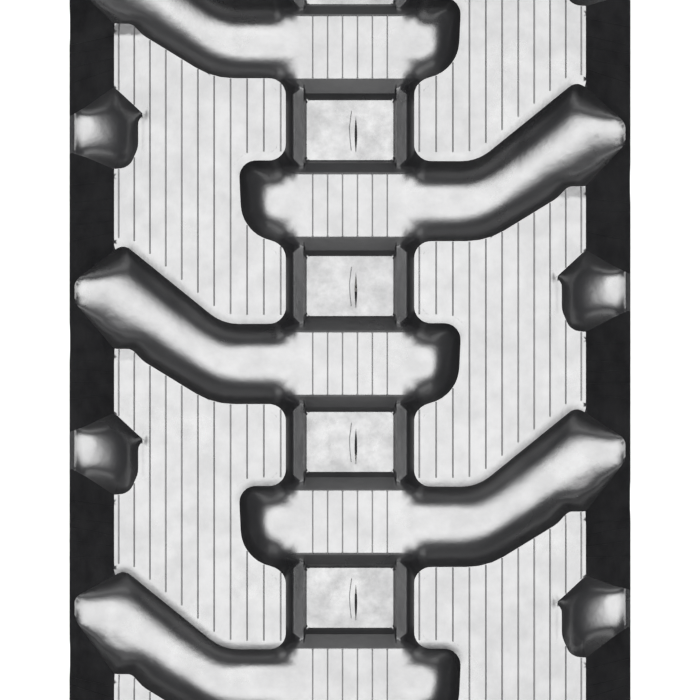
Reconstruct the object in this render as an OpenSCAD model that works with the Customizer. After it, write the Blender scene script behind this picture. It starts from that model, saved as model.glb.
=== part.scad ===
// Endless rubber track for a compact crawler machine, laid out as the free-standing loop
// that it keeps by itself. Rubber belts carry steel cords, forged steel cores cross them
// once in every link, and a staggered block tread is moulded on the outside.
//
// In a link's own frame x runs across the track, y along it and z outwards,
// from the wheel path at 0 to the top of the tread.

/* [Track] */
// Width across the belts
track_w = 320; // [300:10:340]
// Length of one link, from one sprocket window to the next
pitch = 90; // [88:1:94]
// Links in each straight run, an even number so that the tread closes in step
run_links = 18; // [8:2:24]
// How far the upper run can move up and down from rest
flex = 20; // [5:1:24]

/* [Thickness] */
// Belt thickness, from the wheel path to the groove floor
belt_t = 28; // [26:1:32]
// Height of the tread blocks above the groove floor
lug_h = 22; // [14:1:26]
// Height of the cords' centre line above the wheel path
cord_z = 18; // [17:0.5:18.5]

/* [Sprocket windows] */
// Width of a window at its web
window_w = 50; // [44:1:52]
// Length of a window at its web
window_l = 34.5; // [30:0.5:38]
// Width of a window's mouth at the groove floor
mouth_w = 66; // [60:1:70]
// Length of a window's mouth at the groove floor
mouth_l = 52; // [46:1:56]
// Thickness of the thin web that closes a window
web_t = 3; // [2:0.5:4]

/* [Steel cores] */
// Length of a core across the track
core_w = 256; // [230:2:270]
// Width of a core's wings along the track
wing_l = 34; // [28:1:38]
// Thickness of a core's wings
wing_t = 8; // [6:0.5:8.5]
// Height of the guide horns above the wheel path
horn_h = 40; // [30:1:45]
// Distance between the middles of a core's two guide horns
horn_gauge = 82; // [80:1:90]

/* [Steel cords] */
// Cords on each side of the track
cords_per_side = 8; // [4:1:9]
// Radius of one stranded cord
cord_r = 2.2; // [1.5:0.1:2.4]

/* [Hidden] */
$fn = 48;

// ---- the loop ----
arc_links = 8;
bend = 180 / arc_links;
arc_r = pitch / (2 * sin(bend / 2));
top_z = belt_t + lug_h;
centre_z = arc_r + top_z - cord_z;
half_run = run_links * pitch / 2;

// Change of bend at each hinge of an end as the upper run rises, as a share of hinge 2's.
// They add up to nothing, and the two halves mirror each other, so the runs stay level and
// both halves keep meeting at hinge 5, where the bend never changes.
bend_share = [0, 1, -0.5, -0.5, 0, -0.5, -0.5, 1, 0];
middle_hinge = 5;
// Rise of the upper run for each radian of hinge 2
rise_rate = 2 * pitch * (cos(1.5 * bend) + 0.5 * cos(2.5 * bend));
main_play = flex / rise_rate * 180 / PI;

// Gap that each of two neighbouring moving links leaves at their hinge line
hinge_gap = 0.3;
// Mould line between two pieces of rubber that don't move against each other
hairline = 0.1;
// How far the cords and plies stop short of a hinge line
strand_back = 1.5;
// Extra length of a cutting shape beyond what it cuts
over = 12;

// ---- sections ----
web_z = 12;
rail_in = window_w / 2;
edge_chamfer = 6;
lug_in = 35.5;
bevel_w = 29.7;
bevel_drop = lug_h - 1;
ply_t = 1;
ply_z = 22;
strand_in = 50;
strand_out = track_w / 2 - 12;
wing_z = 3;
bridge_l = 30;
bridge_r = web_z / 2;
horn_base = [26, 40];
horn_tip = [14, 24];
horn_root = 4;

// ---- tread outlines, for a link whose groove opens on the left ----
// The groove drops from its mouth, a half pitch ahead, to the middle of the link
groove_points = [
    [-track_w, 45.5], [-160, 45.5], [-126.7, 64], [-70, 21.2], [54.1, 22], [54.1, -23],
    [-63.8, -23], [-77.1, -19], [-112, -0.7], [-130, 5], [-160, 35], [-track_w, 35]
];
// The groove's far end is blind and round
blind_end = [54.1, -0.5];
blind_end_r = 13;
blind_corner = 9.5;
// A round scallop in the opposite shoulder faces each groove's mouth
scallop_at = [137, 43.6];
scallop_r = 15;
scallop_z = 29;
scallop_ramp = [[130.3, 61.2], [114, 45], [130.3, 24]];
slit_at = [3.8, -2.5];
slit_l = 19.6;
slit_w = 1.5;

// ---- places round the loop ----
// Hinge number j, from 1 to 9, of the front end (end = 1) or the rear end (end = -1)
function hinge_point(end, j) =
    let (phi = (j - 1) * bend)
    [end * (half_run + arc_r * sin(phi)), centre_z + end * arc_r * cos(phi)];

// The bend that a hinge has at rest
function rest_bend(j) = (j == 1 || j == arc_links + 1) ? bend / 2 : bend;

// A seam is [half angle outside the cords, half angle inside them, gap]
function seam(j) =
    let (play = abs(bend_share[j - 1]) * main_play, parted = play > 0 || j == middle_hinge)
    [(rest_bend(j) - play) / 2, (rest_bend(j) + play) / 2, parted ? hinge_gap : hairline / 2];

// A segment is [start point, heading, links, number of its first link, seam, seam]
function arc_segment(end, m) = [
    hinge_point(end, m),
    (end > 0 ? 0 : -180) - bend * (m - 0.5),
    1,
    (end > 0 ? run_links : 2 * run_links + arc_links) + m - 1,
    seam(m),
    seam(m + 1)
];
function run_segment(end) = [
    hinge_point(-end, arc_links + 1),
    end > 0 ? 0 : -180,
    run_links,
    end > 0 ? 0 : run_links + arc_links,
    seam(arc_links + 1),
    seam(1)
];
function length_of(seg) = seg[2] * pitch;
function link_centres(seg) = [for (i = [0 : seg[2] - 1]) (i + 0.5) * pitch];

// Each body is [name, segments]. Where an end meets a run the bend never changes, so the
// first and last links of each end belong to the runs.
BODIES = concat(
    [["bottom_run", [arc_segment(1, arc_links), run_segment(-1), arc_segment(-1, 1)]]],
    [["top_run", [arc_segment(-1, arc_links), run_segment(1), arc_segment(1, 1)]]],
    [for (m = [2 : arc_links - 1]) [str("front_", m), [arc_segment(1, m)]]],
    [for (m = [2 : arc_links - 1]) [str("rear_", m), [arc_segment(-1, m)]]]
);

// ---- helpers ----
module placed(seg) {
    translate([0, seg[0][0], seg[0][1]])
        rotate([seg[1], 0, 0])
            translate([0, 0, -cord_z])
                children();
}

// Extrudes a (y, z) outline across the track
module across(width) {
    translate([-width / 2, 0, 0])
        rotate([90, 0, 90])
            linear_extrude(width)
                children();
}

// Extrudes an (x, z) outline along the track
module along(from, to) {
    translate([0, to, 0])
        rotate([90, 0, 0])
            linear_extrude(to - from)
                children();
}

// How far an end reaches past its hinge line at height z
function reach(seam, z) =
    (z - cord_z) * tan(z > cord_z ? seam[0] : seam[1]) - seam[2];

// Everything between a segment's two seams, from height low to height high
module between_seams(seg, low, high) {
    heights = low < cord_z && high > cord_z ? [low, cord_z, high] : [low, high];
    back = [for (z = heights) [-reach(seg[4], z), z]];
    front = [for (z = heights) [length_of(seg) + reach(seg[5], z), z]];
    across(track_w + 2) polygon(concat(back, [for (i = [len(front) - 1 : -1 : 0]) front[i]]));
}

module both_sides() {
    children();
    mirror([1, 0, 0]) children();
}

// ---- steel core ----
module horn() {
    x = horn_gauge / 2;
    intersection() {
        along(-pitch / 2, pitch / 2) polygon([
            [x - horn_base[0] / 2, wing_z + 1], [x + horn_base[0] / 2, wing_z + 1],
            [x + horn_base[0] / 2, -horn_root], [x + horn_tip[0] / 2, -horn_h],
            [x - horn_tip[0] / 2, -horn_h], [x - horn_base[0] / 2, -horn_root]
        ]);
        across(track_w) polygon([
            [-horn_base[1] / 2, wing_z + 1], [horn_base[1] / 2, wing_z + 1],
            [horn_base[1] / 2, -horn_root], [horn_tip[1] / 2, -horn_h],
            [-horn_tip[1] / 2, -horn_h], [-horn_base[1] / 2, -horn_root]
        ]);
    }
}

module bridge() {
    y = bridge_l / 2 - bridge_r;
    for (side = [-1, 1])
        translate([-window_w / 2, side * y, bridge_r])
            rotate([0, 90, 0])
                cylinder(r = bridge_r, h = window_w);
    translate([-window_w / 2, -y, 0]) cube([window_w, 2 * y, 2 * bridge_r]);
}

module core() {
    translate([-core_w / 2, -wing_l / 2, wing_z]) cube([core_w, wing_l, wing_t]);
    bridge();
    both_sides() horn();
}

// The core as it is set in the belts: its wings and horn roots, without the bridge
module core_seat() {
    translate([-core_w / 2, -wing_l / 2, wing_z]) cube([core_w, wing_l, wing_t]);
    both_sides() horn();
}

// ---- cords and plies ----
module strands(seg, spare) {
    spacing = (strand_out - strand_in) / (cords_per_side - 1);
    both_sides()
        for (i = [0 : cords_per_side - 1])
            translate([strand_in + i * spacing, strand_back - spare, cord_z])
                rotate([-90, 0, 0])
                    cylinder(r = cord_r + spare, h = length_of(seg) - 2 * (strand_back - spare));
}

module plies(seg) {
    both_sides()
        translate([strand_in, strand_back, ply_z])
            cube([strand_out - strand_in, length_of(seg) - 2 * strand_back, ply_t]);
}

// ---- belts ----
module belt_section() {
    polygon([
        [rail_in, 0], [track_w / 2 - edge_chamfer, 0], [track_w / 2, edge_chamfer],
        [track_w / 2, belt_t], [mouth_w / 2, belt_t], [rail_in, web_z + web_t]
    ]);
}

module belts(seg) {
    difference() {
        intersection() {
            between_seams(seg, 0, belt_t);
            along(-over, length_of(seg) + over) both_sides() belt_section();
        }
        for (y = link_centres(seg)) translate([0, y, 0]) core_seat();
        strands(seg, 0.05);
        plies(seg);
    }
}

// ---- tread ----
module groove() {
    polygon(groove_points);
    for (side = [-1, 1])
        translate(blind_end + [0, side * blind_corner]) circle(r = blind_end_r);
    translate(blind_end - [0, blind_corner]) square([blind_end_r, 2 * blind_corner]);
}

module scallop() {
    translate(scallop_at) circle(r = scallop_r);
    translate(scallop_at - [0, scallop_r]) square([track_w / 2, 2 * scallop_r]);
    polygon(scallop_ramp);
}

// Repeats a plan shape in every link of a segment and the two beside it, left and right by turns
module staggered(seg) {
    for (i = [-1 : seg[2]])
        translate([0, (i + 0.5) * pitch])
            mirror([(seg[3] + i + 2) % 2, 0])
                children();
}

module block_plan(seg) {
    difference() {
        translate([-track_w / 2, -over]) square([track_w, length_of(seg) + 2 * over]);
        translate([-lug_in, -2 * over]) square([2 * lug_in, length_of(seg) + 4 * over]);
        staggered(seg) groove();
    }
}

module blocks(seg) {
    edge = track_w / 2;
    difference() {
        intersection() {
            translate([0, 0, belt_t]) linear_extrude(lug_h) block_plan(seg);
            between_seams(seg, belt_t, top_z);
            along(-over, length_of(seg) + over) polygon([
                [-edge, belt_t], [edge, belt_t], [edge, top_z - bevel_drop],
                [edge - bevel_w, top_z], [bevel_w - edge, top_z], [-edge, top_z - bevel_drop]
            ]);
        }
        translate([0, 0, scallop_z]) linear_extrude(lug_h) staggered(seg) scallop();
    }
}

// Rubber over a core's bridge, between two windows
module saddle() {
    foot = (pitch - window_l) / 2;
    head = (pitch - mouth_l) / 2;
    intersection() {
        across(mouth_w) polygon([
            [-foot, web_z], [foot, web_z], [foot, web_z + web_t],
            [head, belt_t], [-head, belt_t], [-foot, web_z + web_t]
        ]);
        along(-pitch / 2, pitch / 2) polygon([
            [-rail_in, web_z], [rail_in, web_z], [rail_in, web_z + web_t],
            [mouth_w / 2, belt_t], [-mouth_w / 2, belt_t], [-rail_in, web_z + web_t]
        ]);
    }
}

// The eye-shaped slit in a web, between two shallow arcs
module slit() {
    bulge = slit_w / 2;
    arc = (slit_l * slit_l / 4 + bulge * bulge) / (2 * bulge);
    intersection() {
        translate([arc - bulge, 0]) circle(r = arc, $fn = 360);
        translate([bulge - arc, 0]) circle(r = arc, $fn = 360);
    }
}

module webs(seg) {
    web_l = window_l - 2 * hairline;
    difference() {
        intersection() {
            between_seams(seg, web_z, web_z + web_t);
            for (i = [0 : seg[2]])
                translate([-rail_in, i * pitch - web_l / 2, web_z])
                    cube([2 * rail_in, web_l, web_t]);
        }
        for (i = [0 : seg[2]])
            translate([slit_at[0], i * pitch + slit_at[1], web_z - 1])
                linear_extrude(web_t + 2)
                    slit();
    }
}

module tread(seg) {
    blocks(seg);
    webs(seg);
    for (y = link_centres(seg)) translate([0, y, 0]) saddle();
}

// ---- nodes of a body ----
module belt_node(body) {
    color([0.13, 0.13, 0.14]) for (seg = body[1]) placed(seg) belts(seg);
}

module tread_node(body) {
    color([0.22, 0.22, 0.23]) for (seg = body[1]) placed(seg) tread(seg);
}

module cores_node(body) {
    color([0.45, 0.43, 0.4])
        for (seg = body[1])
            placed(seg)
                for (y = link_centres(seg)) translate([0, y, 0]) core();
}

module cords_node(body) {
    color([0.72, 0.6, 0.38])
        for (seg = body[1])
            placed(seg) {
                strands(seg, 0);
                plies(seg);
            }
}

for (body = BODIES) {
    belt_node(body);
    tread_node(body);
    cores_node(body);
    cords_node(body);
}
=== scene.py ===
"""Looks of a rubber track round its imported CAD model: moulded rubber, forged cores, studio.

The rubber is built in tiles. A tile is the stretch between the middles of two neighbouring
links, with one sprocket window in its middle. In its own frame x runs across the track,
v along it from the hinge line and w outwards from the wheel path. Sizes are millimetres
until a mesh is made, and metres from there on.
"""

import math

import bpy
import numpy as np
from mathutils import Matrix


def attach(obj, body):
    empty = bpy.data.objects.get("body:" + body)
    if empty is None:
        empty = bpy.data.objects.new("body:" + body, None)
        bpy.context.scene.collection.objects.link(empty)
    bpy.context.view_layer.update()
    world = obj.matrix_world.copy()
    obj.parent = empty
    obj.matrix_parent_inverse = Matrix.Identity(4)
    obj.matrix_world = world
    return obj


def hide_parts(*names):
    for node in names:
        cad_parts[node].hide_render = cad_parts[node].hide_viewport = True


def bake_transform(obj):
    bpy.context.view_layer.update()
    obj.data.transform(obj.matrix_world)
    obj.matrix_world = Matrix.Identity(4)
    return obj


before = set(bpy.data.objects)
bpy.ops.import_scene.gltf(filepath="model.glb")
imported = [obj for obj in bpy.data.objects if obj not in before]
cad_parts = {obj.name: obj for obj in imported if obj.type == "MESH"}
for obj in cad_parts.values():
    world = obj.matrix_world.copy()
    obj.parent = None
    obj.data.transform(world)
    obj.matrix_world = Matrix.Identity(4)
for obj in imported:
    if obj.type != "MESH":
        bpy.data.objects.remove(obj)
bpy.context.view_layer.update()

# ---- the loop, as in the CAD model ----
PITCH = 90.0
RUN_LINKS = 18
ARC_LINKS = 8
BEND = 180.0 / ARC_LINKS
CORD_W = 18.0
TOP_W = 50.0
FLOOR_W = 28.0
WEB_TOP_W = 15.0
WEB_BOTTOM_W = 12.0
HALF_W = 160.0
HALF_RUN = RUN_LINKS * PITCH / 2
ARC_R = PITCH / (2 * math.sin(math.radians(BEND / 2)))
CENTRE_Z = ARC_R + TOP_W - CORD_W
HALF_TILE = PITCH / 2
# At this hinge of each end the bend never changes, and the two halves of the end meet
MIDDLE_HINGE = 5
# The rubber bends within this distance of a hinge line and is straight over the cores
BEND_HALF = 27.0
BLEND_HALF = 24.0

# ---- tread plan, for a tile whose groove opens on the left: (x, v, corner radius) ----
GROOVE = [
    (-156.6, 2.1, 6), (-124.9, 20.6, 6), (-70.4, -23.5, 25), (61.6, -23.0, 9),
    (59.5, -67.8, 21), (-75.6, -67.8, 40), (-114.1, -44.2, 5), (-120.9, -37.3, 4),
    (-130.5, -37.3, 3), (-156.6, -10, 8),
]
GROOVE_LINE = [(-163, -3.5, 0), (-133, -1.5, 16), (-76, -44, 32), (39.5, -44.2, 0)]
SCALLOP = [
    (163, 5, 0), (148.5, 9.8, 12), (130.3, 17.5, 3), (114.2, 2.5, 1.5), (117, -1.5, 4),
    (117, -16, 10), (121.8, -27, 8), (130.3, -28, 4), (148.5, -19, 12), (163, -13, 0),
]
SCALLOP_LINE = [(163, -0.7, 0), (149, -0.7, 0)]
# Half the width of a groove's flat floor, at distances from the track's middle
FLOOR_HALF = (5.4, 0.3)
FLOOR_HALF_X = (60.0, 95.0)
SCALLOP_FLOOR = 2.6
# A scallop's shares of height: a soft curve off the floor, and a steep edge
BOWL_SOFT = 0.6
BOWL_POWER = 6.0
# A wall's shares of height: a soft curve off the floor, a slope from the bend on, a steep edge
WALL_SOFT = 0.5
WALL_SLOPE = 0.1
WALL_BEND = 0.5
WALL_ROUND = 0.01
WALL_POWER = 14.0
# The blocks' inner edges, and the width of the wall below them, which widens along the track
LUG_IN = 35.5
LUG_CORNER = 9.2
STRIP_WALL = (3.2, 8.0)
STRIP_WALL_V = (18.0, 25.0)
STRIP_WALL_POWER = 1.2
STRIP_FADE = 6.0
# The bevel from the shoulder line to the side, and the floor's droop near the side
SHOULDER_X = 130.3
SHOULDER_END_W = 24.7
TIP_X = 151.4
TIP_CURVE = 0.0155
# Soft chamfer along the block edges that face backwards
CHAMFER = 4.5
CHAMFER_DROP = 0.8
CHAMFER_POWER = 1.5
BACK_GAIN = 1.6
BACK_START = 0.6
# Rolled inner edge of a scallop, which fades out before the shoulder line
ROLL = 4.5
ROLL_DROP = 1.1
ROLL_IN = 12.0
ROLL_FADE = 6.0
# Tilted corner of a block below a groove's mouth
FACET_V = -44.3
FACET_V_HIGH = -37.3
FACET_X = -111.0
FACET_SLOPE = 0.2
FACET_END_V = -20.0
FACET_FADE = 8.0
# Added to distances that are divided by
TINY = 1e-3

# ---- sprocket window ----
WEB_X = 25.0
WEB_V = 17.25
WEB_CORNER = 0.97
POCKET_X = ((WEB_X, WEB_TOP_W), (26.6, 24.0), (31.8, 26.2), (37.2, FLOOR_W))
POCKET_V = ((WEB_V, WEB_TOP_W), (20.0, 21.5), (26.1, FLOOR_W))
POCKET_BLUNT = 1.2
SLIT = (3.4, -2.6)
SLIT_HALF_L = 9.9
SLIT_HALF_W = 0.75
# Rings of the web's mesh, as shares of the way from its edge to the slit, and their lift
WEB_SHARES = (0.2, 0.45, 0.7, 0.88, 0.97, 1.0)
WEB_LIFT = (0.0, 0.0, 0.0, 0.0, 0.1, 0.04)

# ---- lines left by the mould, each a low ridge of (width, rise) ----
RIDGE_ACROSS = (-0.5, -0.08, 0.08, 0.5)
RIDGE_SINK = 0.15
RIDGE_STATIONS = 5
# Vent lines on the blocks, a little closer to each other towards the shoulder
VENT_RIDGE = (1.1, 0.42)
VENT_LINES = 11
VENT_FIRST_X = 38.3
VENT_GAP = 9.35
VENT_CLOSING = 0.04
VENT_SCAN = 0.25
VENT_EDGE = 0.15
VENT_MARGIN = 0.3
VENT_SHORTEST = 3.0
# The groove distance grows faster than this along the track at a block edge that is soft
SOFT_EDGE_SLOPE = -0.1
# Lines on the bars between the windows, and on the webs
BAR_RIDGE = (0.95, 0.36)
BAR_LINES = 3
BAR_FIRST_X = 4.25
BAR_GAP = 8.47
BAR_END_V = 27.1
WEB_RIDGE = (0.7, 0.3)
WEB_LINE = ((0.7, -11.7), (0, -5), (-0.3, 1.4), (0.1, 5), (0.9, 11.1))
# Lines on the bevels, by where each starts and ends along the track
BEVEL_RIDGE = (0.5, 0.2)
BEVEL_LINES = ((-44, -43.5), (-34.5, -33), (27.5, 25), (33.5, 34), (39.5, 42))

# ---- light, in metres: each softbox is (size, radiance) ----
SOFTBOXES = (((2.5, 2.9), 5.2), ((3.5, 3.9), 4.2), ((4.6, 5.0), 3.4))
SOFTBOX_Z = 3.3
SOFTBOX_RISE = 0.06
FILL_SIZE = (4.0, 4.0)
FILL_Z = 3.5
FILL_RADIANCE = 6.6
PANEL_SIZE = (3.5, 2.2)
PANEL_Y = 3.2
PANEL_Z = 1.3
PANEL_RADIANCE = 1.9
SKY = (0.55, 0.56, 0.58)
SKY_STRENGTH = 0.3
STUDIO_HALF = 8.0

# ---- camera: its height above the upper run's webs is in millimetres ----
CAMERA_HEIGHT = 810.0
CAMERA_Y = -0.06
CAMERA_LENS = 72.15
CAMERA_SHIFT = 0.0571
SENSOR_W = 36.0

# ---- rounding of the walls' creases, which starts off the block edges ----
FIELD_STEP = 1.0
FIELD_X = 178.0
FIELD_V = 63.0
FIELD_BLUR = 5.0
DEEP = 8.0
BEVEL_SOFT = 8.0

# ---- which of a piece's materials a face has ----
ON_TREAD = 0
ON_CARCASS = 1
ON_WEB = 2
ON_BEVEL = 3

# ---- mesh grid ----
CELL = 2.0
X_LINES = (0, WEB_X, POCKET_X[1][0], POCKET_X[2][0], LUG_IN, SHOULDER_X, TIP_X, HALF_W)
V_LINES = (0, WEB_V, POCKET_V[1][0], POCKET_V[2][0], HALF_TILE)
# A grid point is moved on to an edge line this share of a cell away, where the slope allows
SNAP_REACH = 0.56
SNAP_ROUNDS = 4
LEAST_STEEPNESS = 0.04
NUDGE = 0.08
SLOPE_STEP = 0.02
TILES_PER_PIECE = 5

# ---- the inner side: rails beside a channel, and lines across the rails ----
RAIL_IN = 25.0
RAIL_DRAFT = 0.6
RAIL_LINES = (40.0, 64.0, 96.0, 128.0)
EDGE_CHAMFER = 6.0


def smoothstep(t):
    t = np.clip(t, 0, 1)
    return t * t * (3 - 2 * t)


def rounded(corners, closed=True, step=12.0):
    """The outline through (x, y, radius) corners, with an arc of that radius at each."""
    points, count = [], len(corners)
    for i, (x, y, radius) in enumerate(corners):
        here = np.array([x, y], float)
        if not radius or (not closed and i in (0, count - 1)):
            points.append(here)
            continue
        before = np.array(corners[i - 1][:2], float) - here
        after = np.array(corners[(i + 1) % count][:2], float) - here
        before /= np.linalg.norm(before)
        after /= np.linalg.norm(after)
        half = math.acos(np.clip(before @ after, -1, 1)) / 2
        inward = (before + after) / np.linalg.norm(before + after)
        centre = here + inward * radius / math.sin(half)
        start = here + before * radius / math.tan(half) - centre
        turn = math.pi - 2 * half
        side = math.copysign(1, before[0] * after[1] - before[1] * after[0])
        parts = max(2, math.ceil(math.degrees(turn) / step))
        for k in range(parts + 1):
            a = -side * turn * k / parts
            spin = np.array([[math.cos(a), -math.sin(a)], [math.sin(a), math.cos(a)]])
            points.append(centre + spin @ start)
    return np.array(points)


def line_distance(x, v, line):
    """Distance from each point to a polyline."""
    best = np.full(x.shape, 1e9)
    for (ax, av), (bx, bv) in zip(line[:-1], line[1:]):
        dx, dv = bx - ax, bv - av
        length = dx * dx + dv * dv
        if length < 1e-12:
            continue
        t = np.clip(((x - ax) * dx + (v - av) * dv) / length, 0, 1)
        best = np.minimum(best, np.hypot(x - ax - t * dx, v - av - t * dv))
    return best


def outline_distance(x, v, outline):
    """Distance to a closed outline, negative inside it."""
    inside = np.zeros(x.shape, bool)
    for (ax, av), (bx, bv) in zip(outline, np.roll(outline, -1, axis=0)):
        if av == bv:
            continue
        crosses = ((av > v) != (bv > v)) & (x < (bx - ax) * (v - av) / (bv - av) + ax)
        inside ^= crosses
    distance = line_distance(x, v, np.vstack([outline, outline[:1]]))
    return np.where(inside, -distance, distance)


GROOVE_OUTLINE = rounded(GROOVE)
GROOVE_PATH = rounded(GROOVE_LINE, closed=False)
SCALLOP_OUTLINE = rounded(SCALLOP)
SCALLOP_PATH = rounded(SCALLOP_LINE, closed=False)


def staggered(x, v, measure):
    """The least of a measure over this tile's own feature and its mirrored neighbours."""
    return np.minimum(
        measure(x, v), np.minimum(measure(-x, v - PITCH), measure(-x, v + PITCH))
    )


def groove_distance(x, v):
    return staggered(x, v, lambda p, q: outline_distance(p, q, GROOVE_OUTLINE))


def groove_slope(x, v):
    """How much the distance to the nearest groove grows along the track, from -1 to 1."""
    return groove_distance(x, v + 0.5) - groove_distance(x, v - 0.5)


def scallop_distance(x, v):
    return staggered(x, v, lambda p, q: outline_distance(p, q, SCALLOP_OUTLINE))


def block_distance(groove, strip, scallop):
    """Distance into a block, negative outside it, with the corners by the strip rounded."""
    corner = LUG_CORNER - np.hypot(
        np.maximum(LUG_CORNER - groove, 0), np.maximum(LUG_CORNER - strip, 0)
    )
    block = np.minimum(corner, np.minimum(groove, strip))
    return np.minimum(block, scallop)


def lug_distance(x, v):
    """(distance into a block, of the groove, of the centre strip, of the scallop)."""
    groove, scallop = groove_distance(x, v), scallop_distance(x, v)
    strip = np.abs(x) - LUG_IN
    return block_distance(groove, strip, scallop), groove, strip, scallop


def blurred(values, axis):
    reach = math.ceil(3 * FIELD_BLUR / FIELD_STEP)
    offsets = np.arange(-reach, reach + 1) * FIELD_STEP
    kernel = np.exp(-((offsets / FIELD_BLUR) ** 2) / 2)
    kernel /= kernel.sum()
    return np.apply_along_axis(lambda row: np.convolve(row, kernel, "same"), axis, values)


class SoftField:
    """A distance blurred over a regular grid, which rounds its creases."""

    def __init__(self, measure):
        x = np.arange(-FIELD_X, FIELD_X + FIELD_STEP / 2, FIELD_STEP)
        v = np.arange(-FIELD_V, FIELD_V + FIELD_STEP / 2, FIELD_STEP)
        values = measure(*np.meshgrid(x, v))
        self.values = blurred(blurred(values, 0), 1)

    def at(self, x, v):
        across, along = (x + FIELD_X) / FIELD_STEP, (v + FIELD_V) / FIELD_STEP
        c, r = np.floor(across).astype(int), np.floor(along).astype(int)
        s, t = across - c, along - r
        low = self.values[r, c] * (1 - s) + self.values[r, c + 1] * s
        high = self.values[r + 1, c] * (1 - s) + self.values[r + 1, c + 1] * s
        return low * (1 - t) + high * t

    def soften(self, distance, x, v):
        """The sharp distance at an edge and outside it, the blurred one deep inside."""
        return distance + (self.at(x, v) - distance) * smoothstep(-distance / DEEP)


SOFT_GROOVE = SoftField(groove_distance)
SOFT_SCALLOP = SoftField(scallop_distance)


def ramp(value, stops):
    """Height along a row of (distance, height) stops, rising on at 45 degrees after the last."""
    flat = np.interp(value, [s[0] for s in stops], [s[1] for s in stops])
    return flat + np.maximum(value - stops[-1][0], 0)


def blunt_max(a, b):
    """The greater of two heights, rounded off where they meet."""
    return (a + b + np.sqrt((a - b) ** 2 + POCKET_BLUNT**2) - POCKET_BLUNT) / 2


def pocket(x, v):
    """Height of the window's pocket, up to the groove floor."""
    side = blunt_max(ramp(np.abs(x), POCKET_X), ramp(np.abs(v), POCKET_V))
    return np.minimum(side, FLOOR_W)


def wall_bend(u):
    return u - WALL_BEND + np.sqrt((u - WALL_BEND) ** 2 + WALL_ROUND)


def wall_rise(t):
    """Share of a block's height, from the block's edge (t = 0) to the floor (t = 1)."""
    u = 1 - t
    slope = (wall_bend(u) - wall_bend(0)) / (wall_bend(1) - wall_bend(0))
    steep = (1 - WALL_SOFT - WALL_SLOPE) * u**WALL_POWER
    return WALL_SOFT * u**2 + WALL_SLOPE * slope + steep


def bevels(out):
    """Heights of the shoulder's bevel: with a sharp shoulder line, and with a round one."""
    slant = (out - SHOULDER_X) * (SHOULDER_END_W - TOP_W) / (HALF_W - SHOULDER_X)
    sharp = TOP_W + np.minimum(slant, 0)
    return sharp, TOP_W + (slant - np.sqrt(slant**2 + BEVEL_SOFT**2)) / 2


def block_top(x, v, groove, scallop, bevel):
    """Height of the blocks' tops, with the soft chamfers, scallop edges and mouth corners."""
    faces_back = smoothstep(groove_slope(x, v) * BACK_GAIN + BACK_START)
    band = np.clip(1 - np.maximum(groove, 0) / CHAMFER, 0, 1)
    top = bevel - CHAMFER_DROP * band**CHAMFER_POWER * faces_back
    roll = np.clip(1 - np.maximum(scallop, 0) / ROLL, 0, 1) ** 2
    top = top - ROLL_DROP * roll * smoothstep((SHOULDER_X - ROLL_IN - np.abs(x)) / ROLL_FADE)
    facet = (np.clip(v, FACET_V, FACET_V_HIGH) - FACET_V) * (x < FACET_X)
    return top - FACET_SLOPE * facet * smoothstep((FACET_END_V - v) / FACET_FADE)


def floor_distances(x, v):
    """(distance to the floor of a groove or of the centre strip, to the floor of a scallop)."""
    out = np.abs(x)
    to_groove = staggered(x, v, lambda p, q: line_distance(p, q, GROOVE_PATH))
    to_groove = np.maximum(to_groove - np.interp(out, FLOOR_HALF_X, FLOOR_HALF), 0) + TINY
    strip_wall = np.interp(np.abs(v), STRIP_WALL_V, STRIP_WALL)
    to_strip = np.maximum(strip_wall - LUG_IN + out, 0) + TINY
    to_scallop = staggered(x, v, lambda p, q: line_distance(p, q, SCALLOP_PATH))
    to_scallop = np.maximum(to_scallop - SCALLOP_FLOOR, 0)
    return (to_groove**-3 + to_strip**-3) ** (-1 / 3), to_scallop


def beside_strip(x, v):
    """1 on the walls beside a window, fading to 0 away from them."""
    along = smoothstep((STRIP_WALL_V[1] - np.abs(v)) / (STRIP_WALL_V[1] - STRIP_WALL_V[0]))
    return along * smoothstep((LUG_IN + STRIP_FADE - np.abs(x)) / STRIP_FADE)


def height(x, v):
    """Height of the tread's outer face: walls run down from the block edges to the floors."""
    block, groove, strip, scallop = lug_distance(x, v)
    out = np.abs(x)
    bevel, round_bevel = bevels(out)
    top = block_top(x, v, groove, scallop, bevel)
    soft_groove = SOFT_GROOVE.soften(groove, x, v)
    soft_scallop = SOFT_SCALLOP.soften(scallop, x, v)
    depth = np.maximum(-block_distance(soft_groove, strip, soft_scallop), 0)
    to_floor, to_scallop = floor_distances(x, v)
    in_scallop = scallop < np.minimum(groove, strip)
    t = depth / (depth + np.where(in_scallop, to_scallop, to_floor) + 1e-9)
    plain = wall_rise(t)
    wall = plain + ((1 - t) ** STRIP_WALL_POWER - plain) * beside_strip(x, v)
    bowl = BOWL_SOFT * (1 - t) ** 2 + (1 - BOWL_SOFT) * (1 - t) ** BOWL_POWER
    rim = top + (round_bevel - bevel) * smoothstep(depth / DEEP)
    rise = np.maximum(rim - FLOOR_W, 0) * np.where(in_scallop, bowl, wall)
    result = pocket(x, v) - TIP_CURVE * np.maximum(out - TIP_X, 0) ** 2 + rise
    return np.where(block >= 0, top, np.minimum(result, bevel))


def spread(lines, cell):
    """Grid lines through the given ones, no further apart than a cell, mirrored about 0."""
    half = []
    for a, b in zip(lines[:-1], lines[1:]):
        half.extend(np.linspace(a, b, max(1, math.ceil((b - a) / cell - 1e-6)) + 1)[:-1])
    half.append(lines[-1])
    return np.array([-x for x in half[:0:-1]] + half)


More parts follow.
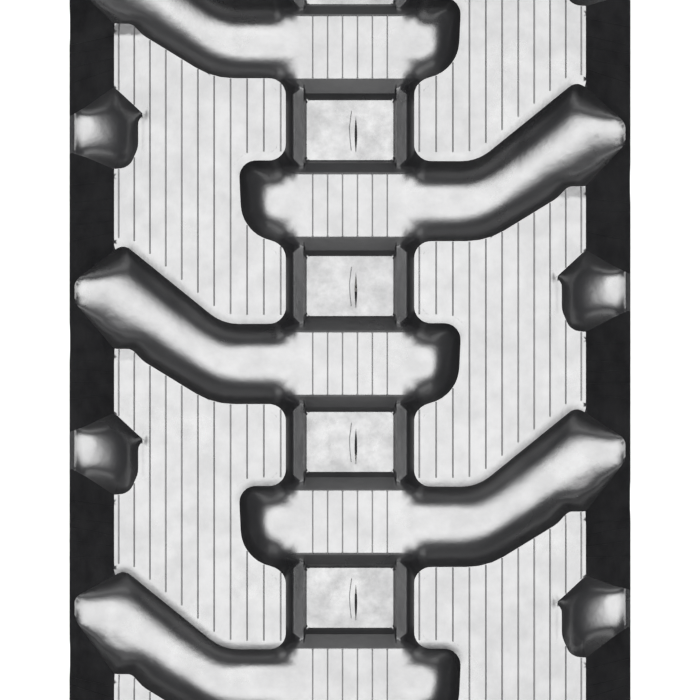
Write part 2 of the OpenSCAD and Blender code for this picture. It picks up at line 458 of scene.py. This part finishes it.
GRID_X = spread(X_LINES, CELL)
GRID_V = spread(V_LINES, CELL)
ROWS, COLS = len(GRID_V), len(GRID_X)
ROW_LO, ROW_HI = (int(np.argmin(np.abs(GRID_V - s * WEB_V))) for s in (-1, 1))
COL_LO, COL_HI = (int(np.argmin(np.abs(GRID_X - s * WEB_X))) for s in (-1, 1))


def snapped_grid():
    """Grid points of the left-hand tile, moved onto block edges and chamfer lines nearby."""
    x, v = np.meshgrid(GRID_X, GRID_V)
    level = np.full(x.shape, -1)
    start = lug_distance(x, v)[0]
    inner = (np.abs(x) < HALF_W - 0.1) & (np.abs(x) > WEB_X + 1)
    reach = CELL * SNAP_REACH
    for number, wanted in enumerate((0.0, CHAMFER)):
        near = inner & (np.abs(start - wanted) < reach) & (level < 0)
        for _ in range(SNAP_ROUNDS):
            block = lug_distance(x, v)[0]
            dx = (lug_distance(x + SLOPE_STEP, v)[0] - block) / SLOPE_STEP
            dv = (lug_distance(x, v + SLOPE_STEP)[0] - block) / SLOPE_STEP
            dv[0], dv[-1] = 0, 0
            steep = dx * dx + dv * dv
            move = (wanted - block) / np.maximum(steep, LEAST_STEEPNESS)
            move = np.where(near & (steep > LEAST_STEEPNESS), move, 0)
            move = np.clip(move, -reach, reach)
            x, v = x + move * dx, v + move * dv
        level[near] = number
    # the last row is the next tile's first, which is mirrored
    x[-1], level[-1] = -x[0][::-1], level[0][::-1]
    for r in (ROW_LO, ROW_HI):
        for c in (COL_LO, COL_HI):
            x[r, c] *= WEB_CORNER
            v[r, c] *= WEB_CORNER
    return x, v, level


def tile_faces(level):
    """Triangles of the grid as corner numbers, split along the snapped lines."""
    faces = []
    for r in range(ROWS - 1):
        for c in range(COLS - 1):
            if ROW_LO <= r < ROW_HI and COL_LO <= c < COL_HI:
                continue
            a, b = r * COLS + c, r * COLS + c + 1
            d, e = a + COLS, b + COLS
            rising = level[r, c] == level[r + 1, c + 1] >= 0
            falling = level[r, c + 1] == level[r + 1, c] >= 0
            if rising and not falling:
                faces += [(a, b, e), (a, e, d)]
            elif falling and not rising:
                faces += [(a, b, d), (b, e, d)]
            elif (r + c) % 2:
                faces += [(a, b, e), (a, e, d)]
            else:
                faces += [(a, b, d), (b, e, d)]
    return np.array(faces)


def corner_normals(x, v, faces):
    """Normals of the height function at each triangle corner, taken just inside it."""
    fx, fv = x.ravel()[faces], v.ravel()[faces]
    px = fx + (fx.mean(1, keepdims=True) - fx) * NUDGE
    pv = fv + (fv.mean(1, keepdims=True) - fv) * NUDGE
    h = SLOPE_STEP
    slope_x = (height(px + h, pv) - height(px - h, pv)) / (2 * h)
    slope_v = (height(px, pv + h) - height(px, pv - h)) / (2 * h)
    normal = np.stack([-slope_x, -slope_v, np.ones_like(slope_x)], -1)
    return normal / np.linalg.norm(normal, axis=-1, keepdims=True)


def face_materials(x, v, faces):
    """Material numbers: the blocks' bevels get a duller rubber than the rest of the tread, whose
    darker colour is painted shade.
    """
    mid_x, mid_v = x.ravel()[faces].mean(1), v.ravel()[faces].mean(1)
    on_bevel = (np.abs(mid_x) > SHOULDER_X) & (lug_distance(mid_x, mid_v)[0] > 0)
    return np.where(on_bevel, ON_BEVEL, ON_TREAD)


def window_ring():
    """Grid corners round the web, anticlockwise, as (row, column)."""
    ring = [(ROW_LO, c) for c in range(COL_LO, COL_HI)]
    ring += [(r, COL_HI) for r in range(ROW_LO, ROW_HI)]
    ring += [(ROW_HI, c) for c in range(COL_HI, COL_LO, -1)]
    ring += [(r, COL_LO) for r in range(ROW_HI, ROW_LO, -1)]
    return ring


RING = window_ring()


def web_points():
    """Rings of points from the web's edge in to its eye-shaped slit, as (x, v, lift)."""
    edge = np.array([(FLAT_X[r, c], FLAT_V[r, c]) for r, c in RING])
    angle = np.arctan2(edge[:, 1] - SLIT[1], edge[:, 0] - SLIT[0])
    along = SLIT_HALF_L * np.sin(angle)
    bulge = SLIT_HALF_W * (1 - (along / SLIT_HALF_L) ** 2)
    eye = np.stack([SLIT[0] + bulge * np.sign(np.cos(angle)), SLIT[1] + along], 1)
    rings = []
    for share, lift in zip(WEB_SHARES, WEB_LIFT):
        flat = edge * (1 - share) + eye * share
        rings.append(np.column_stack([flat, np.full(len(flat), lift)]))
    return np.array(rings)


class Tile:
    """Where one tile sits: its hinge line, heading, bend and the side its groove opens on."""

    def __init__(self, point, heading, bend, link, bodies):
        self.point = point
        self.heading = math.radians(heading)
        self.half = math.radians(bend / 2)
        self.mirrored = link % 2 == 1
        self.bodies = bodies

    def turn(self, v):
        return np.clip(v / BEND_HALF, -1, 1) * self.half

    def place(self, x, v, w):
        """Points (x, v, w) of the tile, bent and put in the loop, in metres."""
        h = w - CORD_W
        phi = self.turn(v)
        if self.half > 0:
            r = BEND_HALF / math.tan(self.half)
            curved = np.abs(v) <= BEND_HALF
            a = np.where(curved, r * np.sin(phi), v * math.cos(self.half))
            b = np.where(
                curved,
                r * np.cos(phi) - r / math.cos(self.half),
                -np.abs(v) * math.sin(self.half),
            )
        else:
            a, b = v, np.zeros_like(v)
        a = a + h * np.sin(phi)
        b = b + h * np.cos(phi)
        c, s = math.cos(self.heading), math.sin(self.heading)
        y = self.point[0] + a * c - b * s
        z = self.point[1] + a * s + b * c
        return np.stack([x + 0 * y, y, z], -1) / 1000

    def turned(self, normal, v, w):
        """Normals of the flat tile as they are on the bent one."""
        phi = self.turn(v)
        stretch = np.ones_like(v)
        if self.half > 0:
            r = BEND_HALF / math.tan(self.half)
            stretch = np.where(np.abs(v) <= BEND_HALF, r / (r + w - CORD_W), 1)
        nx, nv, nw = normal[..., 0], normal[..., 1] * stretch, normal[..., 2]
        a = nv * np.cos(phi) + nw * np.sin(phi)
        b = nw * np.cos(phi) - nv * np.sin(phi)
        c, s = math.cos(self.heading), math.sin(self.heading)
        out = np.stack([nx, a * c - b * s, a * s + b * c], -1)
        return out / np.linalg.norm(out, axis=-1, keepdims=True)


def hinge_point(end, j):
    phi = math.radians((j - 1) * BEND)
    return (end * (HALF_RUN + ARC_R * math.sin(phi)), CENTRE_Z + end * ARC_R * math.cos(phi))


def link_body(end, m):
    """The body of arc link m, counted from 0 just before an end to 9 just after it."""
    before, after = ("top_run", "bottom_run") if end > 0 else ("bottom_run", "top_run")
    word = "front" if end > 0 else "rear"
    return before if m < 2 else f"{word}_{m}" if m < ARC_LINKS else after


def arc_tile(end, j):
    first, last = j == 1, j == ARC_LINKS + 1
    bend = BEND / 2 if first or last else BEND
    heading = (0 if end > 0 else -180) - BEND * (j - 1) + (-BEND / 4 if first else 0)
    heading += BEND / 4 if last else 0
    link = (RUN_LINKS if end > 0 else 2 * RUN_LINKS + ARC_LINKS) + j - 2
    return Tile(hinge_point(end, j), heading, bend, link, (link_body(end, j - 1), link_body(end, j)))


def run_tiles(end):
    """Tiles between the links of the upper run (end = 1) or the lower one (end = -1)."""
    y, z = hinge_point(-end, ARC_LINKS + 1)
    first = 0 if end > 0 else RUN_LINKS + ARC_LINKS
    body = "top_run" if end > 0 else "bottom_run"
    return [
        Tile((y + end * i * PITCH, z), 0 if end > 0 else -180, 0, first + i - 1, (body, body))
        for i in range(1, RUN_LINKS)
    ]


def vent_runs(x):
    """Stretches of one vent line: up to crisp block edges, short of soft ones."""
    v = np.arange(-HALF_TILE, HALF_TILE + VENT_SCAN / 2, VENT_SCAN)
    x = np.full_like(v, x)
    block, groove = lug_distance(x, v)[:2]
    soft = (groove_slope(x, v) > SOFT_EDGE_SLOPE) & (groove < CHAMFER + VENT_MARGIN)
    on = (block > VENT_EDGE) & ~soft
    padded = np.concatenate([[False], on, [False]]).astype(int)
    starts = np.flatnonzero(np.diff(padded) == 1)
    ends = np.flatnonzero(np.diff(padded) == -1) - 1
    return [
        (-HALF_TILE + a * VENT_SCAN, -HALF_TILE + b * VENT_SCAN)
        for a, b in zip(starts, ends)
        if (b - a) * VENT_SCAN > VENT_SHORTEST
    ]


def fine_lines():
    """Raised lines left by the mould's vents: (points as (x, v), width, rise, material)."""
    lines = []
    for side in (-1, 1):
        for k in range(VENT_LINES):
            x = side * (VENT_FIRST_X + VENT_GAP * k - VENT_CLOSING * k * k)
            for a, b in vent_runs(x):
                lines.append(([(x, a), (x, b)], *VENT_RIDGE, ON_TREAD))
        for k in range(BAR_LINES):
            x = side * (BAR_FIRST_X + BAR_GAP * k)
            for low, high in ((-HALF_TILE, -BAR_END_V), (BAR_END_V, HALF_TILE)):
                lines.append(([(x, low), (x, high)], *BAR_RIDGE, ON_TREAD))
        for start, end in BEVEL_LINES:
            line = [(side * SHOULDER_X, start), (side * HALF_W, end)]
            lines.append((line, *BEVEL_RIDGE, ON_BEVEL))
    return lines


def ridge_points(line, width, rise, spacing):
    """Cross-sections of a low ridge along a line: (x, v, w), four corners a station."""
    line = np.array(line, float)
    stations = [line[0]]
    for a, b in zip(line[:-1], line[1:]):
        count = max(1, math.ceil(np.linalg.norm(b - a) / spacing))
        stations += [a + (b - a) * k / count for k in range(1, count + 1)]
    stations = np.array(stations)
    along = np.gradient(stations, axis=0)
    along /= np.linalg.norm(along, axis=1, keepdims=True)
    aside = np.stack([along[:, 1], -along[:, 0]], 1)
    across = np.array(RIDGE_ACROSS) * width
    flat = stations[:, None] + aside[:, None] * across[None, :, None]
    foot = height(stations[:, 0], stations[:, 1])[:, None]
    return np.dstack([flat, foot + np.array([-RIDGE_SINK, rise, rise, -RIDGE_SINK])])


# ---- the left-hand tile's grid, made once ----
FLAT_X, FLAT_V, FLAT_LEVEL = snapped_grid()
FLAT_W = height(FLAT_X, FLAT_V)
FLAT_W[-1] = FLAT_W[0][::-1]
FLAT_FACES = tile_faces(FLAT_LEVEL)
FLAT_NORMALS = corner_normals(FLAT_X, FLAT_V, FLAT_FACES)
FLAT_KINDS = face_materials(FLAT_X, FLAT_V, FLAT_FACES)
WEB_RINGS = web_points()
# For a straight tile, whose lines need no stations between their ends, and for a bent one
FINE_LINES = [
    [(ridge_points(*line[:3], spacing), line[3]) for line in fine_lines()]
    for spacing in (HALF_TILE, RIDGE_STATIONS)
]
WEB_LINE_POINTS = ridge_points(WEB_LINE, *WEB_RIDGE, RIDGE_STATIONS)

# ---- the inner side's section across the track ----
RAIL_X = np.array([RAIL_IN + RAIL_DRAFT, *RAIL_LINES, HALF_W - EDGE_CHAMFER, HALF_W])
INNER_X = np.concatenate([-RAIL_X[::-1], GRID_X[COL_LO : COL_HI + 1], RAIL_X])
INNER_W = np.interp(
    np.abs(INNER_X),
    [0, WEB_X, RAIL_IN + RAIL_DRAFT, HALF_W - EDGE_CHAMFER, HALF_W],
    [WEB_BOTTOM_W, WEB_BOTTOM_W, 0, 0, EDGE_CHAMFER],
)
INNER_COLS = len(INNER_X)
INNER_LO = int(np.argmin(np.abs(INNER_X + WEB_X)))
INNER_HI = int(np.argmin(np.abs(INNER_X - WEB_X)))


class MeshParts:
    """Collects corners, faces, face normals and material numbers of one piece."""

    def __init__(self):
        self.points, self.count = [], 0
        self.faces, self.normals, self.kinds = [], [], []

    def add_points(self, points):
        first = self.count
        points = np.asarray(points).reshape(-1, 3)
        self.points.append(points)
        self.count += len(points)
        return first

    def add_faces(self, faces, kind, normals=None):
        """Faces as rows of corner numbers, with corner normals or flat ones."""
        faces = np.asarray(faces)
        self.faces.append(faces)
        self.normals.append(normals)
        self.kinds.append(np.full(len(faces), kind))

    def flat_normals(self, faces, points):
        corners = points[faces]
        ahead = np.roll(corners, -1, axis=1)
        normal = np.cross(corners, ahead).sum(1)
        normal /= np.maximum(np.linalg.norm(normal, axis=1, keepdims=True), 1e-12)
        return np.repeat(normal[:, None], faces.shape[1], axis=1)

    def build(self, name, materials):
        points = np.concatenate(self.points)
        normals = [
            (self.flat_normals(f, points) if n is None else n).reshape(-1, 3)
            for f, n in zip(self.faces, self.normals)
        ]
        mesh = bpy.data.meshes.new(name)
        sizes = np.concatenate([np.full(len(f), f.shape[1]) for f in self.faces])
        loops = np.concatenate([f.ravel() for f in self.faces])
        mesh.vertices.add(len(points))
        mesh.vertices.foreach_set("co", points.astype(np.float32).ravel())
        mesh.loops.add(len(loops))
        mesh.loops.foreach_set("vertex_index", loops.astype(np.int32))
        mesh.polygons.add(len(sizes))
        starts = np.concatenate([[0], np.cumsum(sizes)[:-1]])
        mesh.polygons.foreach_set("loop_start", starts.astype(np.int32))
        mesh.polygons.foreach_set("material_index", np.concatenate(self.kinds).astype(np.int32))
        mesh.update(calc_edges=True)
        mesh.shade_smooth()
        mesh.normals_split_custom_set(np.concatenate(normals).tolist())
        for material in materials:
            mesh.materials.append(material)
        piece = bpy.data.objects.new(name, mesh)
        bpy.context.scene.collection.objects.link(piece)
        return piece


def as_placed(tile, values):
    """A left-hand grid as this tile holds it: mirrored tiles run the other way across."""
    return values[:, ::-1] if tile.mirrored else values


def add_tread(parts, tiles):
    """The outer face of a row of tiles. Returns the first corner number."""
    side = [-1 if t.mirrored else 1 for t in tiles]
    grids = []
    for i, (tile, s) in enumerate(zip(tiles, side)):
        x, v, w = s * as_placed(tile, FLAT_X), as_placed(tile, FLAT_V), as_placed(tile, FLAT_W)
        placed = tile.place(x, v, w)
        grids.append(placed if i == 0 else placed[1:])
    first = parts.add_points(np.concatenate(grids))
    for i, (tile, s) in enumerate(zip(tiles, side)):
        faces, normals = FLAT_FACES, FLAT_NORMALS
        v, w = FLAT_V.ravel()[faces], FLAT_W.ravel()[faces]
        if tile.mirrored:
            row, col = faces // COLS, faces % COLS
            faces = (row * COLS + COLS - 1 - col)[:, ::-1]
            normals = (normals * [-1, 1, 1])[:, ::-1]
            v, w = v[:, ::-1], w[:, ::-1]
        parts.add_faces(
            faces + first + i * (ROWS - 1) * COLS, FLAT_KINDS, tile.turned(normals, v, w)
        )
    return first


def add_inner(parts, tiles):
    """The inner face of a row of tiles. Returns the first corner number."""
    x, v = np.meshgrid(INNER_X, GRID_V)
    w = np.broadcast_to(INNER_W, x.shape)
    grids = [t.place(x, v, w) if i == 0 else t.place(x, v, w)[1:] for i, t in enumerate(tiles)]
    first = parts.add_points(np.concatenate(grids))
    quads = []
    for i in range(len(tiles)):
        for r in range(ROWS - 1):
            for c in range(INNER_COLS - 1):
                if ROW_LO <= r < ROW_HI and INNER_LO <= c < INNER_HI:
                    continue
                a = first + (i * (ROWS - 1) + r) * INNER_COLS + c
                quads.append((a, a + INNER_COLS, a + INNER_COLS + 1, a + 1))
    parts.add_faces(quads, ON_CARCASS)
    return first


def add_sides(parts, tiles, outer, inner):
    """Side walls between the outer and inner faces, and a flat end at each end."""
    rows = len(tiles) * (ROWS - 1) + 1
    quads = []
    for r in range(rows - 1):
        a, b = outer + r * COLS, inner + r * INNER_COLS
        quads.append((a, a + COLS, b + INNER_COLS, b))
        a, b = a + COLS - 1, b + INNER_COLS - 1
        quads.append((a, b, b + INNER_COLS, a + COLS))
    parts.add_faces(quads, ON_CARCASS)
    for r, back in ((0, True), (rows - 1, False)):
        top = [outer + r * COLS + c for c in range(COLS)]
        bottom = [inner + r * INNER_COLS + c for c in range(INNER_COLS)]
        ring = top + bottom[::-1]
        parts.add_faces([ring[::-1] if back else ring], ON_CARCASS)


def numbered_rings(first, rings, count):
    """Corner numbers of rings of a given count of corners, numbered on from the first."""
    return [list(range(first + k * count, first + (k + 1) * count)) for k in range(rings)]


def band_faces(a, b):
    """Quads between two rings of corner numbers."""
    return list(zip(a, a[1:] + a[:1], b[1:] + b[:1], b))


def add_webs(parts, tiles, outer, inner):
    """The thin web in each window, with its slit, between the two faces."""
    count = len(RING)
    for i, tile in enumerate(tiles):
        base = i * (ROWS - 1)
        edge_top = [outer + (base + r) * COLS + c for r, c in RING]
        edge_low = [inner + (base + r) * INNER_COLS + c - COL_LO + INNER_LO for r, c in RING]
        x, v, lift = np.moveaxis(WEB_RINGS, -1, 0)
        top = parts.add_points(tile.place(x, v, WEB_TOP_W + lift))
        low = parts.add_points(tile.place(x, v, WEB_BOTTOM_W + 0 * lift))
        rings_top = [edge_top, *numbered_rings(top, len(x), count)]
        rings_low = [edge_low, *numbered_rings(low, len(x), count)]
        faces = []
        for outside, inside in zip(rings_top[:-1], rings_top[1:]):
            faces += band_faces(outside, inside)
        parts.add_faces(faces, ON_WEB)
        faces = []
        for outside, inside in zip(rings_low[:-1], rings_low[1:]):
            faces += [(b, a, d, c) for a, b, c, d in band_faces(outside, inside)]
        faces += band_faces(rings_top[-1], rings_low[-1])
        parts.add_faces(faces, ON_CARCASS)


def add_fine_lines(parts, tiles):
    """A low ridge for every fine line, sunk a little into the rubber."""
    for tile in tiles:
        for ridge, kind in [*FINE_LINES[tile.half > 0], (WEB_LINE_POINTS, ON_WEB)]:
            flipped = tile.mirrored and kind != ON_WEB
            x = -ridge[..., 0] if flipped else ridge[..., 0]
            first = parts.add_points(tile.place(x, ridge[..., 1], ridge[..., 2]))
            last = len(ridge) - 1
            quads = [(first + 3, first + 2, first + 1, first)]
            for s in range(last):
                for k in range(4):
                    a, b = first + 4 * s + k, first + 4 * s + (k + 1) % 4
                    quads.append((a, b, b + 4, a + 4))
            end = first + 4 * last
            quads.append((end, end + 1, end + 2, end + 3))
            quads = np.array(quads)
            parts.add_faces(quads[:, ::-1] if flipped else quads, kind)


def rubber_piece(name, tiles, materials):
    parts = MeshParts()
    outer = add_tread(parts, tiles)
    inner = add_inner(parts, tiles)
    add_sides(parts, tiles, outer, inner)
    add_webs(parts, tiles, outer, inner)
    add_fine_lines(parts, tiles)
    piece = parts.build(name, materials)
    return piece


# ---- materials ----
def new_material(name, base, roughness, specular, ior=1.5, metallic=0.0):
    material = bpy.data.materials.new(name)
    material.use_nodes = True
    shader = material.node_tree.nodes["Principled BSDF"]
    shader.inputs["Base Color"].default_value = (*base, 1)
    shader.inputs["Roughness"].default_value = roughness
    shader.inputs["Specular IOR Level"].default_value = specular
    shader.inputs["IOR"].default_value = ior
    shader.inputs["Metallic"].default_value = metallic
    return material


def mottled_material(name, dark, light, roughness, specular):
    """A material cloudy in colour and gloss, with fine grain in its surface."""
    material = new_material(name, dark, roughness[0], specular[1])
    tree = material.node_tree
    shader = tree.nodes["Principled BSDF"]
    where = tree.nodes.new("ShaderNodeTexCoord")
    cloud = tree.nodes.new("ShaderNodeTexNoise")
    cloud.inputs["Scale"].default_value = 22
    cloud.inputs["Detail"].default_value = 6
    tree.links.new(where.outputs["Object"], cloud.inputs["Vector"])
    tint = tree.nodes.new("ShaderNodeMixRGB")
    tint.inputs["Color1"].default_value = (*dark, 1)
    tint.inputs["Color2"].default_value = (*light, 1)
    tree.links.new(cloud.outputs["Fac"], tint.inputs["Fac"])
    tree.links.new(tint.outputs["Color"], shader.inputs["Base Color"])
    gloss = tree.nodes.new("ShaderNodeMapRange")
    gloss.inputs["From Min"].default_value = 0.3
    gloss.inputs["From Max"].default_value = 0.7
    gloss.inputs["To Min"].default_value = roughness[0]
    gloss.inputs["To Max"].default_value = roughness[1]
    tree.links.new(cloud.outputs["Fac"], gloss.inputs["Value"])
    tree.links.new(gloss.outputs["Result"], shader.inputs["Roughness"])
    bloom = tree.nodes.new("ShaderNodeTexNoise")
    bloom.inputs["Scale"].default_value = 75
    bloom.inputs["Detail"].default_value = 5
    bloom.inputs["Roughness"].default_value = 0.65
    tree.links.new(where.outputs["Object"], bloom.inputs["Vector"])
    sheen = tree.nodes.new("ShaderNodeMapRange")
    sheen.inputs["From Min"].default_value = 0.35
    sheen.inputs["From Max"].default_value = 0.65
    sheen.inputs["To Min"].default_value = specular[0]
    sheen.inputs["To Max"].default_value = specular[1]
    tree.links.new(bloom.outputs["Fac"], sheen.inputs["Value"])
    tree.links.new(sheen.outputs["Result"], shader.inputs["Specular IOR Level"])
    grain = tree.nodes.new("ShaderNodeTexNoise")
    grain.inputs["Scale"].default_value = 260
    grain.inputs["Detail"].default_value = 4
    tree.links.new(where.outputs["Object"], grain.inputs["Vector"])
    bump = tree.nodes.new("ShaderNodeBump")
    bump.inputs["Strength"].default_value = 0.25
    bump.inputs["Distance"].default_value = 0.0004
    tree.links.new(grain.outputs["Fac"], bump.inputs["Height"])
    tree.links.new(bump.outputs["Normal"], shader.inputs["Normal"])
    return material


# The darkest colour is painted shade: it darkens the bevels' rubber a step below the same rubber on
# the tread.
PAINTED_SHADE_BLACK = (0.002, 0.002, 0.0023)
BLACK = (0.006, 0.006, 0.0066)
GREY = (0.010, 0.010, 0.011)
TREAD_RUBBER = mottled_material("tread_rubber", BLACK, GREY, (0.26, 0.32), (0.72, 0.84))
CARCASS_RUBBER = mottled_material("carcass_rubber", BLACK, GREY, (0.4, 0.55), (0.25, 0.38))
WEB_RUBBER = mottled_material("web_rubber", BLACK, GREY, (0.24, 0.36), (0.58, 0.86))
# The bevels' rubber is the tread rubber with painted shade in its colour, one step darker, and with a
# duller gloss.
SHADED_BEVEL_RUBBER = mottled_material("bevel_rubber_painted_shade", PAINTED_SHADE_BLACK, BLACK, (0.45, 0.6), (0.03, 0.08))
RUBBER = [TREAD_RUBBER, CARCASS_RUBBER, WEB_RUBBER, SHADED_BEVEL_RUBBER]
SCALE_DARK = (0.10, 0.095, 0.09)
SCALE_LIGHT = (0.18, 0.17, 0.16)
BRASS_DARK = (0.5, 0.4, 0.2)
BRASS_LIGHT = (0.6, 0.48, 0.26)
STEEL = mottled_material("forged_steel", SCALE_DARK, SCALE_LIGHT, (0.4, 0.6), (0.5, 0.8))
BRASS_WIRE = mottled_material("cord_wire", BRASS_DARK, BRASS_LIGHT, (0.3, 0.4), (0.5, 0.8))


def build_rubber():
    """All the rubber: the two runs in short pieces, and one piece at each hinge of the ends."""
    last = ARC_LINKS + 1
    upper = [arc_tile(-1, last), *run_tiles(1), arc_tile(1, 1)]
    lower = [arc_tile(1, last), *run_tiles(-1), arc_tile(-1, 1)]
    for body, tiles in (("top_run", upper), ("bottom_run", lower)):
        for number, start in enumerate(range(0, len(tiles), TILES_PER_PIECE), 1):
            row = tiles[start : start + TILES_PER_PIECE]
            piece = rubber_piece(f"rubber_{body}_{number}", row, RUBBER)
            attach(piece, body)
            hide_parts(f"belt_{body}", f"tread_{body}")
    for end, word in ((1, "front"), (-1, "rear")):
        for j in range(2, ARC_LINKS + 1):
            tile = arc_tile(end, j)
            piece = rubber_piece(f"rubber_{word}_hinge_{j}", [tile], RUBBER)
            if j == MIDDLE_HINGE:
                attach(piece, tile.bodies[1] if end > 0 else tile.bodies[0])
            else:
                ends = np.array([-BLEND_HALF, BLEND_HALF])
                start, stop = tile.place(np.zeros(2), ends, np.full(2, CORD_W))
                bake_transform(piece)
            for body in tile.bodies:
                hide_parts(f"belt_{body}", f"tread_{body}")


def finish_cad_nodes():
    for name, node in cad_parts.items():
        if name.startswith(("cores_", "cords_")):
            node.data.materials.clear()
            node.data.materials.append(STEEL if name.startswith("cores_") else BRASS_WIRE)


def area_light(name, location, turn, size, radiance, seen_by):
    """A rectangular light of the given radiance, facing down until turned about x."""
    data = bpy.data.lights.new(name, "AREA")
    data.shape = "RECTANGLE"
    data.size, data.size_y = size
    data.energy = radiance * math.pi * size[0] * size[1]
    light = bpy.data.objects.new(name, data)
    light.location = location
    light.rotation_euler = (turn, 0, 0)
    light.visible_camera = False
    light.visible_diffuse = seen_by == "diffuse"
    light.visible_glossy = seen_by == "gloss"
    bpy.context.scene.collection.objects.link(light)
    return light


def studio():
    """Pale floor, soft light from above and an even sky."""
    mesh = bpy.data.meshes.new("studio_floor")
    corners = [(x * STUDIO_HALF, y * STUDIO_HALF, 0) for x, y in ((-1, -1), (1, -1), (1, 1), (-1, 1))]
    mesh.from_pydata(corners, [], [(0, 1, 2, 3)])
    floor = bpy.data.objects.new("studio_floor", mesh)
    floor.data.materials.append(new_material("floor_paper", (0.82, 0.82, 0.82), 0.9, 0.2))
    bpy.context.scene.collection.objects.link(floor)
    # nested reflectors make a reflection that fades out towards its edges
    for number, (size, radiance) in enumerate(SOFTBOXES, 1):
        spot = (0, 0, SOFTBOX_Z + SOFTBOX_RISE * number)
        area_light(f"softbox_{number}", spot, 0, size, radiance, "gloss")
    area_light("fill", (0, 0, FILL_Z), 0, FILL_SIZE, FILL_RADIANCE, "diffuse")
    for name, side in (("front_panel", 1), ("rear_panel", -1)):
        spot = (0, side * PANEL_Y, PANEL_Z)
        area_light(name, spot, -side * math.pi / 2, PANEL_SIZE, PANEL_RADIANCE, "gloss")
    world = bpy.data.worlds.new("studio_sky")
    world.use_nodes = True
    background = world.node_tree.nodes["Background"]
    background.inputs["Color"].default_value = (*SKY, 1)
    background.inputs["Strength"].default_value = SKY_STRENGTH
    bpy.context.scene.world = world
    bpy.context.scene.view_settings.view_transform = "Standard"


def camera():
    """Straight down on the upper run, 0.8 m above its webs, with the picture shifted up."""
    data = bpy.data.cameras.new("camera")
    data.sensor_width = SENSOR_W
    data.lens = CAMERA_LENS
    data.shift_y = CAMERA_SHIFT
    eye = bpy.data.objects.new("camera", data)
    web_z = CENTRE_Z + ARC_R - CORD_W + WEB_TOP_W
    eye.location = (0, CAMERA_Y, (web_z + CAMERA_HEIGHT) / 1000)
    bpy.context.scene.collection.objects.link(eye)
    bpy.context.scene.camera = eye


build_rubber()
finish_cad_nodes()
studio()
camera()
